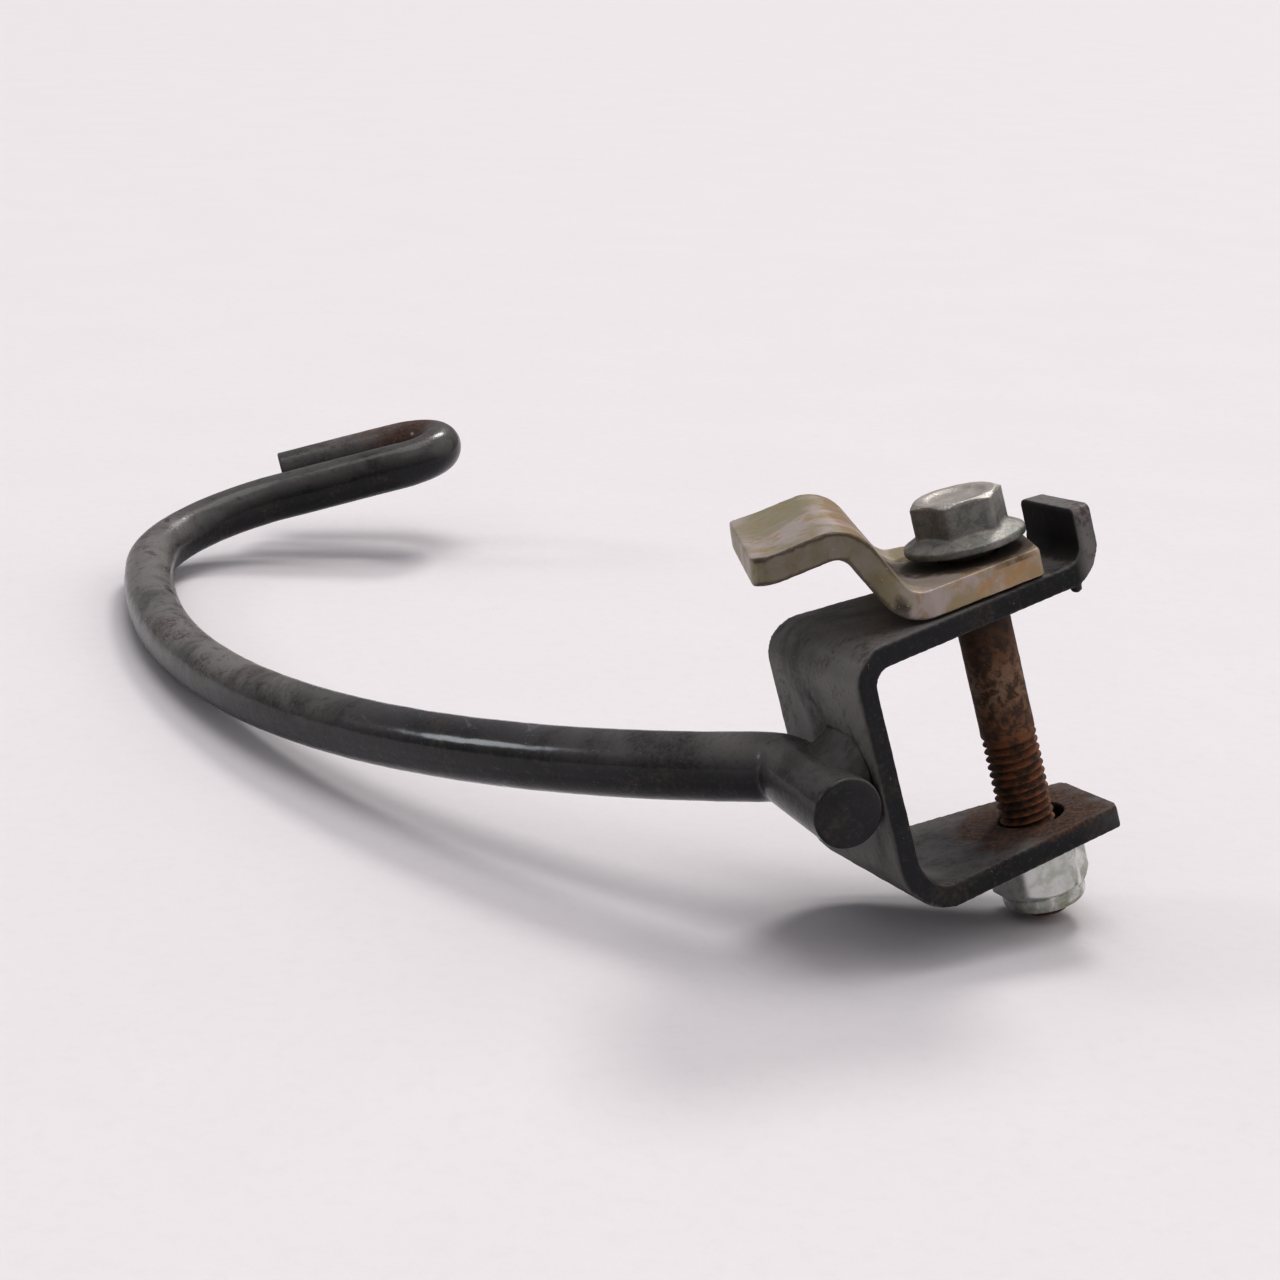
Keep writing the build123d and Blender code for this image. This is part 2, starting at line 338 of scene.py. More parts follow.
def remesh(obj, voxel):
    """Rebuilds the object's closed surface on an even mesh."""
    modifier = obj.modifiers.new("even", "REMESH")
    modifier.mode = "VOXEL"
    modifier.voxel_size = voxel * MM
    bpy.context.view_layer.update()
    evaluated = obj.evaluated_get(bpy.context.evaluated_depsgraph_get())
    mesh = bpy.data.meshes.new_from_object(evaluated)
    obj.modifiers.clear()
    obj.data = mesh
    mesh.shade_smooth()


def blob(edit, place, radii):
    """Adds an ellipsoid to a bmesh, at a place in clamp millimetres."""
    made = bmesh.ops.create_icosphere(edit, subdivisions=3, radius=1.0)["verts"]
    for vertex in made:
        local = Vector([c * r for c, r in zip(vertex.co, radii)])
        vertex.co = Vector(to_row(np.array(local) + np.array(place)))


def unit(values):
    """Values held between 0 and 1."""
    return np.clip(values, 0, 1)


def near(values, middle, reach):
    """1 at the middle, falling smoothly to 0 at reach."""
    share = unit(1 - np.abs(values - middle) / reach)
    return share * share * (3 - 2 * share)


# ------------------------------------------------------------------ pieces
# Wear, dust and painted shade are placed where they show: near(coordinate, middle, reach) is in
# millimetres along the clamp's axes, and facing says which way the surface looks.
def worn_plate(name, node, seed, yaw=0.0, extra=None):
    """Even mesh of a plate part, with its edges worn round and its faces slightly dented.

    The plate is squared up to the clamp's axes, less its yaw, while it is remeshed, so that its
    flat faces stay flat.
    """
    edit = bmesh.new()
    edit.from_mesh(frame["nodes"][node].data)
    bmesh.ops.remove_doubles(edit, verts=edit.verts, dist=PLATE_WELD_DISTANCE)
    if extra:
        extra(edit)
    mesh = bpy.data.meshes.new(name)
    edit.to_mesh(mesh)
    edit.free()
    obj = bpy.data.objects.new(name, mesh)
    bpy.context.scene.collection.objects.link(obj)
    angle = math.radians(yaw)
    turn = np.array([[math.cos(angle), -math.sin(angle), 0],
                     [math.sin(angle), math.cos(angle), 0],
                     [0, 0, 1]])
    set_vertices(obj, to_clamp(vertex_array(obj)) @ turn * MM)
    remesh(obj, PLATE_VOXEL)
    set_vertices(obj, to_row(vertex_array(obj) / MM @ turn.T))
    smooth(obj, PLATE_SMOOTHING)
    dent(obj, PLATE_DENTS, PLATE_DENT_SIZE, seed)
    dent(obj, PLATE_DENTS * PLATE_PIT_SHARE, PLATE_PIT_SIZE, seed + 1)
    mark_curvature(obj)
    return obj


def add_spatter(edit):
    """Bead of weld spatter left under the lip's bend."""
    blob(edit, SPATTER_PLACE, (SPATTER_RADIUS, SPATTER_RADIUS, SPATTER_RADIUS * SPATTER_FLATNESS))


def clamp_bracket():
    obj = worn_plate("clamp_bracket_worn", "clamp_bracket", seed=3, extra=add_spatter)
    x, y, z = to_clamp(vertex_array(obj)).T
    facing_x, facing_y, facing_z = (normal_array(obj) @ AXES).T
    inside_lower = near(z, 0, 2.5)
    around_bolt = near(np.hypot(x, y), 4, 20)
    middle_of_web = near(x, WEB_OUTER_X, 3) * near(z, 30, 22)
    tip_of_lip = near(x, LIP_X, 4) * near(z, LIP_Z, 5)
    rust = 0.34 * inside_lower * around_bolt + 0.50 * inside_lower * near(x, 2, 36)
    rust += 0.30 * middle_of_web + 0.45 * tip_of_lip
    store(obj, "rust", unit(rust))
    outside_web = unit(-facing_x) * near(x, WEB_OUTER_X, 4)
    floor_side = unit(facing_z) * inside_lower
    lip_side = unit(np.abs(facing_y)) * unit((x - LIP_X + 4) / 3)
    top_side = unit(facing_z) * unit((z - CLAMP_GAP) / 2)
    lower_edge = np.abs(facing_y) * unit((x - 2) / 8) * near(z, -2, 4)
    dust_and_top_light = 0.75 * outside_web + 0.70 * floor_side + 0.95 * lip_side + 0.85 * top_side
    dust_and_top_light += 0.35 * lower_edge
    store(obj, "dust_and_top_light", unit(dust_and_top_light))
    # Painted shade on the lip's inner face, which lies in the shadow of the bolt head and strap.
    inside_lip = unit(-facing_x) * unit((x - 12) / 2)
    store(obj, "darkening", unit(inside_lip))
    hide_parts("clamp_bracket")
    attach(obj, "frame")
    return obj


def clip_strap():
    obj = worn_plate("clip_strap_worn", "clip_strap", seed=11, yaw=CLIP_YAW)
    x, y, z = to_clamp(vertex_array(obj)).T
    facing_x, facing_y, facing_z = (normal_array(obj) @ AXES).T
    yaw = math.radians(CLIP_YAW)
    along = x * math.cos(yaw) + y * math.sin(yaw)
    across = y * math.cos(yaw) - x * math.sin(yaw)
    height = z - CLAMP_GAP - BAR_THICKNESS
    upward = unit(facing_z * 2)
    rust = 0.75 * near(along, -21, 5) * near(height, 16, 9) * upward
    rust += 0.35 * near(height, 1, 5) * near(along, 0, 16) * (1 - upward)
    store(obj, "rust", unit(rust))
    # A dark spot of dirt at the bend, and painted shadow of the bolt's flange on the strap's top
    # around the bolt.
    dirt_and_shade = 0.8 * near(along, -15.5, 4) * near(height, 3.5, 6)
    dirt_and_shade += 1.1 * near(np.hypot(x, y), 7, 13) * (height > 4)
    store(obj, "dirt_and_shade", unit(dirt_and_shade))
    store(obj, "flat", near(along, 4, 18) * near(height, 2, 8))
    near_side = unit(facing_x * math.sin(yaw) - facing_y * math.cos(yaw))
    # Painted shade on the near faces of the tail, which get less light than its top.
    store(obj, "side_shade", near_side * unit((CLIP_TAIL_START - along) / 5))
    near_edge = near(across, across.min() + 0.6, 1.6)
    store(obj, "seam", near_edge * unit((CLIP_TAIL_START - along) / 4))
    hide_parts("clip_strap")
    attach(obj, "clip")
    return obj


def rod_line():
    """Centreline of the rod in its bending plane: points, headings, and bend per mm."""
    place = np.array([0.0, ROD_START_Y])
    heading = math.pi / 2
    points, headings, bends = [place.copy()], [heading], [0.0]
    for kind, size, turn in ROD_RUNS:
        length = size if kind == "straight" else size * math.radians(abs(turn))
        steps = max(2, math.ceil(length / ROD_STEP))
        change = math.radians(turn) / steps
        chord = length / steps if turn == 0 else 2 * size * math.sin(abs(change) / 2)
        for _ in range(steps):
            middle = heading + change / 2
            place = place + chord * np.array([math.cos(middle), math.sin(middle)])
            heading += change
            points.append(place.copy())
            headings.append(heading)
            bends.append(math.copysign(1 / size, turn) if turn else 0.0)
    return np.array(points), np.array(headings), np.array(bends)


def even_out(values, passes):
    """Smooths a row of values, with its ends held."""
    for _ in range(passes):
        padded = np.pad(values, 1, mode="edge")
        values = (padded[:-2] + 2 * padded[1:-1] + padded[2:]) / 4
    return values


def rod_rings(points, headings, bends):
    """Rings of the rod's skin, flattened a little in tight bends, with rounded cut ends."""
    angles = np.linspace(0, 2 * math.pi, ROD_SEGMENTS, endpoint=False)
    flattening = even_out(unit(np.abs(bends) * 10), 6) * ROD_FLATTENING
    side = np.stack([-np.sin(headings), np.cos(headings)], 1)
    rings = []
    for point, offset, flat in zip(points, side, flattening):
        sideways = ROD_RADIUS * (1 - flat) * np.cos(angles)
        upwards = ROD_RADIUS * (1 - 0.2 * flat) * np.sin(angles)
        ring = np.column_stack([point + sideways[:, None] * offset, upwards])
        rings.append(ring)
    for end in (0, -1):
        forward = np.array([math.cos(headings[end]), math.sin(headings[end]), 0])
        forward *= 1 if end == 0 else -1
        centre = rings[end].mean(0)
        spokes = rings[end] - centre
        caps = [centre + spokes * reach + forward * depth for reach, depth in ROD_END_PROFILE]
        if end == 0:
            rings[0:1] = caps
        else:
            rings[-1:] = caps[::-1]
    return np.array(rings)


def hook_rod():
    """Bowed rod, tipped up by its rise; its wear, and the dust that also paints its top faces
    lighter, is placed along the row's axes.
    """
    points, headings, bends = rod_line()
    local = rod_rings(points, headings, bends)
    rise = math.radians(ROD_RISE)
    turn = np.array([[1, 0, 0],
                     [0, math.cos(rise), -math.sin(rise)],
                     [0, math.sin(rise), math.cos(rise)]])
    seat = np.array([WEB_OUTER_X - ROD_RADIUS, 0, ROD_AXIS_Z])
    obj = lattice("hook_rod_worn", local @ turn.T + seat)
    dent(obj, ROD_DENTS, ROD_DENT_SIZE, seed=5)
    dent(obj, ROD_DENTS * ROD_PIT_SHARE, ROD_PIT_SIZE, seed=6)
    mark_curvature(obj, passes=1)
    x, y = (vertex_array(obj) / MM).T[:2]
    far_end = unit((y - 95) / 60) * unit((x + 45) / 50)
    turned_back = near(y, 150, 25) * near(x, 18, 30)
    arm = near(x, -22, 48) * near(y, -72, 75)
    bow = near(x, -62, 22) * (1 - arm)
    store(obj, "rust", unit(0.40 * far_end + 0.30 * turned_back))
    store(obj, "scuff", unit(arm))
    # Dust on the upward faces: partly real dust on the bow, and partly painted light that makes
    # the rod's tops lighter.
    settled_and_lit = 0.45 * (1 - arm) + 0.9 * bow + 0.4 * near(y, 160, 16) + 0.35 * near(y, -140, 50)
    store(obj, "dust_and_top_light", unit(settled_and_lit) * unit(normal_array(obj)[:, 2] * 1.4))
    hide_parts("hook_rod")
    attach(obj, "frame")
    return obj


def bead_section(share, climb, wrap, seed):
    """Outline of a bead at a share of its length, as (out from the rod axis, up)."""
    wander = 1 + BEAD_WANDER * noise.noise(Vector((share * 7, seed, 0.5)))
    foot = np.array([ROD_RADIUS, climb * wander])
    edge = math.radians(wrap * wander)
    crown = ROD_RADIUS * np.array([math.cos(edge), math.sin(edge)])
    root = np.array(BEAD_ROOT)
    middle = (foot + crown) / 2 * (1 - BEAD_SAG) + root * BEAD_SAG
    t = np.linspace(0, 1, BEAD_FACE_POINTS)[:, None]
    face = (1 - t) ** 2 * foot + 2 * t * (1 - t) * middle + t ** 2 * crown
    ripple = BEAD_RIPPLE_DEPTH * abs(math.sin(math.pi * BEAD_LENGTH * share / BEAD_RIPPLE))
    outward = (face - root) / np.linalg.norm(face - root, axis=1)[:, None]
    face = face + outward * ripple * np.sin(math.pi * t)
    outline = np.vstack([foot + BEAD_TOE, face, crown * BEAD_SINK, root])
    size = math.sqrt(max(BEAD_TIP_AREA, 1 - abs(2 * share - 1) ** BEAD_TAPER))
    return root + (outline - root) * size


def weld_bead(name, node, side, climb, wrap, seed):
    """Weld metal that ramps from the web onto the rod in slow ripples and tapers at both ends."""
    rise = math.radians(ROD_RISE)
    rings = []
    for share in np.linspace(0, 1, round(BEAD_LENGTH / BEAD_STEP) + 1):
        outline = bead_section(share, climb, wrap, seed)[::side]
        along = BEAD_START_Y + BEAD_LENGTH * share
        x = WEB_OUTER_X - ROD_RADIUS + outline[:, 0]
        y = along * math.cos(rise) - side * outline[:, 1] * math.sin(rise)
        z = ROD_AXIS_Z + along * math.sin(rise) + side * outline[:, 1] * math.cos(rise)
        rings.append(np.column_stack([x, y, z]))
    obj = lattice(name, rings)
    dent(obj, BEAD_DENTS, BEAD_DENT_SIZE, seed)
    mark_curvature(obj, passes=1)
    store(obj, "rust", np.full(len(obj.data.vertices), BEAD_RUST))
    store(obj, "dust_and_top_light", np.full(len(obj.data.vertices), BEAD_DUST))
    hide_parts(node)
    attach(obj, "frame")
    return obj


def corner_angle(node, low, high):
    """Angle about the bolt axis of a hexagon's corner, from the CAD node's outermost points."""
    points = to_clamp(vertex_array(frame["nodes"][node]))
    band = points[(points[:, 2] > low) & (points[:, 2] < high)]
    outermost = band[np.hypot(band[:, 0], band[:, 1]).argmax()]
    return math.atan2(outermost[1], outermost[0])


def hexagon(angles, corner, flats):
    """Radius of a hexagon with slightly rounded corners."""
    turn = (angles - corner) % (math.pi / 3) - math.pi / 6
    sharp = flats / 2 / np.cos(turn)
    return np.minimum(sharp, flats / math.sqrt(3) - HEX_CORNER_ROUND)


def turned_rings(rows, angles):
    """Rings from rows of (radius, height), each a number or one value per angle."""
    rings = []
    for radius, height in rows:
        radius = np.broadcast_to(radius, angles.shape)
        height = np.broadcast_to(height, angles.shape)
        rings.append(np.column_stack([radius * np.cos(angles), radius * np.sin(angles), height]))
    return rings


def thread_rows(angles, bottom):
    """Rows of a right-hand thread, cut to a point at the bottom and running out at the top."""
    rows = []
    steps = round((THREAD_TOP_Z - bottom) / BOLT_PITCH * THREAD_ROWS_A_TURN)
    for i in range(steps + 1):
        z = bottom + (THREAD_TOP_Z - bottom) * i / steps
        phase = (z / BOLT_PITCH - angles / (2 * math.pi)) % 1
        groove = unit((np.abs(2 * phase - 1) - THREAD_CREST_SHARE) / THREAD_FLANK_SHARE)
        fade = min(1.0, (THREAD_TOP_Z - z) / (THREAD_RUN_OUT * BOLT_PITCH))
        radius = BOLT_RADIUS - THREAD_DEPTH * groove * fade
        point = BOLT_RADIUS - BOLT_POINT + (z - bottom) * POINT_SLOPE
        rows.append((np.minimum(radius, point), z))
    return rows


def head_rows(angles, corner):
    """Rows of the bolt's head: its flange, the cone up to the hexagon, and the dished top."""
    hexed = hexagon(angles, corner, HEAD_FLATS)
    dish_z = HEAD_HEIGHT - HEAD_DISH
    rows = [(BOLT_RADIUS + 0.1, -0.2), (BOLT_RADIUS + 0.5, 0), (HEAD_FLANGE_RADIUS - 0.5, 0),
            (HEAD_FLANGE_RADIUS - 0.15, 0.12), (HEAD_FLANGE_RADIUS, 0.4),
            (HEAD_FLANGE_RADIUS, HEAD_RIM - 0.4), (HEAD_FLANGE_RADIUS - 0.12, HEAD_RIM - 0.12)]
    for height in np.linspace(HEAD_RIM + 0.05, HEAD_RIM + 2.0, 10):
        cone = HEAD_FLANGE_RADIUS - 0.3 - HEAD_CONE_SLOPE * (height - HEAD_RIM)
        gap = np.abs(cone - hexed)
        fillet = HEAD_FILLET * np.exp(-(gap / HEAD_FILLET_REACH) ** 2)
        rows.append((np.maximum(cone, hexed) + fillet, height))
    for height in np.linspace(HEAD_RIM + 2.3, HEAD_HEIGHT - 1.0, 6):
        rows.append((hexed, height))
    for height in np.linspace(HEAD_HEIGHT - 0.86, HEAD_HEIGHT, 8):
        cone = HEAD_TOP_RADIUS + CHAMFER_SLOPE * (HEAD_HEIGHT - height)
        rows.append((np.minimum(hexed, cone), height))
    rows += [(HEAD_TOP_RADIUS - 0.35, HEAD_HEIGHT), (HEAD_DISH_RADIUS + 0.6, HEAD_HEIGHT),
             (HEAD_DISH_RADIUS + 0.2, HEAD_HEIGHT - 0.08),
             (HEAD_DISH_RADIUS - 0.3, HEAD_HEIGHT - HEAD_DISH * 0.8),
             (HEAD_DISH_RADIUS - 0.8, dish_z), (3.4, dish_z), (2.2, dish_z), (1.0, dish_z)]
    return [(radius, height + BOLT_SEAT_Z) for radius, height in rows]


def flange_bolt():
    corner = corner_angle("flange_bolt", BOLT_SEAT_Z + HEAD_HEIGHT / 2, BOLT_SEAT_Z + HEAD_HEIGHT)
    angles = corner + np.linspace(0, 2 * math.pi, BOLT_SEGMENTS, endpoint=False)
    bottom = BOLT_SEAT_Z - BOLT_LENGTH
    rows = [(1.2, bottom), (BOLT_RADIUS - BOLT_POINT - 0.3, bottom)]
    rows += thread_rows(angles, bottom)
    for z in np.linspace(THREAD_TOP_Z + 1.0, BOLT_SEAT_Z - 0.8, 30):
        rows.append((BOLT_RADIUS - 0.03, z))
    rows += head_rows(angles, corner)
    obj = lattice("flange_bolt_threaded", turned_rings(rows, angles))
    dent(obj, BOLT_DENTS, BOLT_DENT_SIZE, seed=21)
    dent(obj, BOLT_PITS, BOLT_PIT_SIZE, seed=22)
    mark_curvature(obj, passes=1)
    z = to_clamp(vertex_array(obj))[:, 2]
    shank = unit(BOLT_SEAT_Z - 0.5 - z)
    store(obj, "shank", shank)
    store(obj, "polish", near(z, RUBBED_BAND_Z, 7) * shank)
    store(obj, "shade", unit((z - 30) / 8) * shank)
    # Top face of the head, painted lighter as if lit from above, with painted glints.
    store(obj, "top", unit((z - BOLT_SEAT_Z - HEAD_HEIGHT + 0.9) / 0.4))
    facing = normal_array(obj) @ AXES
    # Painted shade on the head's left-front facets.
    store(obj, "side_shade", unit(-facing @ (0.9, 0.5, 0) - 0.25))
    store(obj, "thread", unit((THREAD_TOP_Z + 1 - z) / 2))
    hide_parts("flange_bolt")
    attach(obj, "bolt")
    return obj


def nut_rows(angles, corner):
    """Closed profile of the nut, down its outside and back up through the bore."""
    hexed = hexagon(angles, corner, NUT_FLATS)
    foot = -NUT_HEX_HEIGHT
    rows = [(NUT_BORE_RADIUS + 0.6, 0), (7.0, 0), (NUT_FLATS / 2 - 0.25, 0)]
    for height in np.linspace(-0.04, -0.6, 5):
        rows.append((np.minimum(hexed, NUT_FLATS / 2 - 0.15 - CHAMFER_SLOPE * height), height))
    for height in np.linspace(-1.0, foot + 1.5, 6):
        rows.append((hexed, height))
    for height in np.linspace(foot + 1.3, foot, 9):
        cone = NUT_COLLAR_RADIUS + 0.12 + (height - foot) * COLLAR_CONE_SLOPE
        rows.append((np.minimum(hexed, cone), height))
    bottom = -NUT_HEIGHT
    rows += [(NUT_COLLAR_RADIUS - 0.05, foot - 0.15), (NUT_COLLAR_RADIUS - 0.22, foot - 0.4),
             (NUT_COLLAR_RADIUS - 0.12, foot - 0.8), (NUT_COLLAR_RADIUS - 0.08, bottom + 1.9),
             (NUT_COLLAR_RADIUS - 0.15, bottom + 1.3), (NUT_COLLAR_RADIUS - 0.4, bottom + 0.7),
             (NUT_COLLAR_RADIUS - 0.85, bottom + 0.25), (NUT_COLLAR_RADIUS - 1.35, bottom + 0.02),
             (NUT_MOUTH_RADIUS + 0.15, bottom + 0.04), (NUT_MOUTH_RADIUS, bottom + 0.25),
             (NUT_MOUTH_RADIUS + 0.02, bottom + 0.55), (INSERT_RADIUS, bottom + 0.62),
             (INSERT_RADIUS, bottom + 0.6 + INSERT_HEIGHT),
             (NUT_BORE_RADIUS, bottom + 0.62 + INSERT_HEIGHT),
             (NUT_BORE_RADIUS, foot + 2), (NUT_BORE_RADIUS, -2.0), (NUT_BORE_RADIUS, -0.6)]
    return [(radius, height + NUT_SEAT_Z) for radius, height in rows]


def lock_nut():
    corner = corner_angle("lock_nut", NUT_SEAT_Z - NUT_HEX_HEIGHT, NUT_SEAT_Z)
    angles = corner + np.linspace(0, 2 * math.pi, NUT_SEGMENTS, endpoint=False)
    obj = lattice("lock_nut_turned", turned_rings(nut_rows(angles, corner), angles), closed=True)
    dent(obj, NUT_DENTS, NUT_DENT_SIZE, seed=31)
    mark_curvature(obj, passes=1)
    z = to_clamp(vertex_array(obj))[:, 2]
    facing = normal_array(obj) @ AXES
    # Painted shade, darker and olive, on the nut's right-facing flats.
    store(obj, "side_shade", unit(facing @ (0.9, -0.2, 0)))
    store(obj, "collar", unit((NUT_SEAT_Z - NUT_HEX_HEIGHT + 0.4 - z) / 0.6))
    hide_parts("lock_nut")
    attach(obj, "nut")
    return obj


def nylon_insert():
    """Soft ring in the nut's collar, its lower face bulging a little at the mouth."""
    angles = np.linspace(0, 2 * math.pi, NUT_SEGMENTS, endpoint=False)
    bottom = NUT_SEAT_Z - NUT_HEIGHT + 0.64
    top = bottom + INSERT_HEIGHT - 0.06
    rows = [(NUT_BORE_RADIUS + 0.02, top), (INSERT_RADIUS - 0.25, top),
            (INSERT_RADIUS - 0.05, top - 0.25), (INSERT_RADIUS - 0.05, bottom + 0.2),
            (INSERT_RADIUS - 0.3, bottom + 0.02),
            (NUT_MOUTH_RADIUS - 0.1, bottom), (NUT_MOUTH_RADIUS - 0.3, bottom - 0.16),
            (NUT_BORE_RADIUS + 0.5, bottom - 0.2), (NUT_BORE_RADIUS + 0.15, bottom - 0.05),
            (NUT_BORE_RADIUS + 0.02, bottom + 0.3), (NUT_BORE_RADIUS + 0.02, (bottom + top) / 2)]
    obj = lattice("nylon_insert_ring", turned_rings(rows, angles), closed=True)
    mark_curvature(obj, passes=1)
    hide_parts("nylon_insert")
    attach(obj, "nut")
    return obj


# ------------------------------------------------------------------ materials
def colour(red, green, blue):
    """Linear colour from display values of 0 to 255."""
    linear = []
    for value in (red / 255, green / 255, blue / 255):
        linear.append(value / 12.92 if value <= 0.04045 else ((value + 0.055) / 1.055) ** 2.4)
    return (*linear, 1.0)


# Old black paint
PAINT_BLACK = colour(12, 12, 15)
PAINT_CHARCOAL = colour(27, 26, 30)
# Pale grey for dust, also used as painted light on the rod's upward faces.
PAINT_DUST_AND_TOP_LIGHT = colour(134, 131, 128)
PAINT_THIN = colour(42, 41, 44)
PAINT_BROWNED = colour(62, 50, 40)
PAINT_SCRATCHED = colour(60, 61, 66)
PAINT_WORN_EDGE = colour(104, 96, 90)
PAINT_RUST_DARK = colour(58, 42, 35)
PAINT_RUST_LIGHT = colour(112, 76, 54)
# Near-black for grime in hollows, also used for the painted shade inside the lip.
PAINT_GRIME_AND_SHADE = colour(24, 19, 17)
PAINT_RUBBED = colour(120, 124, 134)
PAINT_SCORED = colour(164, 118, 78)
PAINT_CHIP = colour(150, 150, 155)
PAINT_SPECULAR = 0.36
COATED_SPECULAR = 0.15

# Yellow-passivated zinc
YELLOW_PINKISH = colour(176, 165, 160)
YELLOW_OLIVE = colour(150, 142, 117)
YELLOW_OCHRE = colour(158, 134, 92)
YELLOW_ORANGE = colour(178, 144, 104)
# Painted shade on the strap's near faces.
YELLOW_SIDE_SHADE = colour(98, 92, 70)
YELLOW_SEAM = colour(66, 48, 38)
YELLOW_RUST = colour(124, 88, 54)
# Dark brown for dirt, also used for the painted shadow around the bolt.
YELLOW_DIRT_AND_SHADE = colour(52, 42, 34)
YELLOW_WORN_EDGE = colour(186, 178, 158)
YELLOW_SPECK = colour(205, 198, 176)

# Grey zinc and rust of the bolt
GREY_DARK = colour(118, 120, 115)
GREY_LIGHT = colour(154, 151, 145)
GREY_BRUSHED = colour(176, 172, 164)
GREY_GRIME = colour(62, 60, 56)
# Painted light on the head's top face.
GREY_LIT_TOP = colour(198, 190, 184)
# Painted shade on the head's left-front facets.
GREY_SIDE_SHADE = colour(70, 68, 72)
GREY_GLINT = colour(214, 220, 204)
RUST_DARK = colour(72, 52, 38)
RUST_BROWN = colour(124, 86, 58)
RUST_BRIGHT = colour(150, 92, 52)
RUST_ORANGE = colour(138, 84, 46)
RUST_RUBBED = colour(158, 142, 126)
RUST_SHADED = colour(44, 32, 22)
RUST_GROOVE = colour(30, 20, 15)

# Bright zinc of the nut
BRIGHT_LIGHT = colour(222, 222, 220)
BRIGHT_DULL = colour(196, 200, 190)
BRIGHT_SCUFF = colour(128, 108, 84)
BRIGHT_GRIME = colour(74, 72, 62)
BRIGHT_COLLAR = colour(140, 146, 128)
# Painted shade on the nut's right-facing flats.
BRIGHT_SIDE_SHADE = colour(118, 119, 98)

# Nylon ring
NYLON_CLEAN = colour(214, 210, 196)
NYLON_SOILED = colour(158, 148, 124)
NYLON_GLOW = 0.15
NYLON_GLOW_DEPTH = 1.0

# Floor
FLOOR_COOL = colour(217, 214, 216)
FLOOR_PALE = colour(221, 219, 220)
FLOOR_FIBRE = colour(212, 209, 211)


class Shader:
    """A material built from procedural nodes around one Principled shader."""

    def __init__(self, name):
        self.material = bpy.data.materials.new(name)
        self.material.use_nodes = True
        self.tree = self.material.node_tree
        self.tree.nodes.clear()
        output = self.node("ShaderNodeOutputMaterial")
        self.surface = self.node("ShaderNodeBsdfPrincipled")
        self.tree.links.new(self.surface.outputs[0], output.inputs[0])
        self.place = self.node("ShaderNodeTexCoord").outputs["Object"]

    def node(self, kind):
        return self.tree.nodes.new(kind)

    def put(self, socket, value):
        """Links a node's output to a socket, or sets the socket to a plain value."""
        if isinstance(value, bpy.types.NodeSocket):
            self.tree.links.new(value, socket)
        else:
            socket.default_value = value

    def noise(self, size, detail=6.0, roughness=0.6, distortion=0.0, stretch=(1, 1, 1)):
        """Noise of 0 to 1 whose features are about size mm across."""
        mapping = self.node("ShaderNodeMapping")
        self.put(mapping.inputs["Vector"], self.place)
        mapping.inputs["Scale"].default_value = stretch
        texture = self.node("ShaderNodeTexNoise")
        self.put(texture.inputs["Vector"], mapping.outputs[0])
        texture.inputs["Scale"].default_value = 1 / (size * MM)
        texture.inputs["Detail"].default_value = detail
        texture.inputs["Roughness"].default_value = roughness
        texture.inputs["Distortion"].default_value = distortion
        return texture.outputs[0]

    def attribute(self, name):
        node = self.node("ShaderNodeAttribute")
        node.attribute_name = name
        return node.outputs["Fac"]

    def math(self, operation, first, second):
        node = self.node("ShaderNodeMath")
        node.operation = operation
        self.put(node.inputs[0], first)
        self.put(node.inputs[1], second)
        return node.outputs[0]

    def add(self, *values):
        total = values[0]
        for value in values[1:]:
            total = self.math("ADD", total, value)
        return total

    def times(self, first, second):
        return self.math("MULTIPLY", first, second)

    def step(self, value, low, high):
        """0 below low, 1 above high, smooth between; low may be above high."""
        node = self.node("ShaderNodeMapRange")
        node.interpolation_type = "SMOOTHSTEP"
        self.put(node.inputs["Value"], value)
        swap = low > high
        node.inputs["From Min"].default_value = min(low, high)
        node.inputs["From Max"].default_value = max(low, high)
        node.inputs["To Min"].default_value = 1.0 if swap else 0.0
        node.inputs["To Max"].default_value = 0.0 if swap else 1.0
        return node.outputs[0]

    def span(self, value, low, high):
        """Takes a share of 0 to 1 to a number between low and high."""
        node = self.node("ShaderNodeMapRange")
        self.put(node.inputs["Value"], value)
        node.inputs["To Min"].default_value = low
        node.inputs["To Max"].default_value = high
        return node.outputs[0]

    def mix(self, share, first, second):
        node = self.node("ShaderNodeMix")
        node.data_type = "RGBA"
        self.put(node.inputs[0], share)
        self.put(node.inputs[6], first)
        self.put(node.inputs[7], second)
        return node.outputs[2]

    def finish(self, base, roughness, height, depth, metallic=0.0):
        """Sets the shader's colour, roughness, metal share and bump; depth is in mm."""
        self.put(self.surface.inputs["Base Color"], base)
        self.put(self.surface.inputs["Roughness"], roughness)
        self.put(self.surface.inputs["Metallic"], metallic)
        bump = self.node("ShaderNodeBump")
        bump.inputs["Distance"].default_value = depth * MM
        self.put(bump.inputs["Height"], height)
        self.put(self.surface.inputs["Normal"], bump.outputs[0])
        return self.material


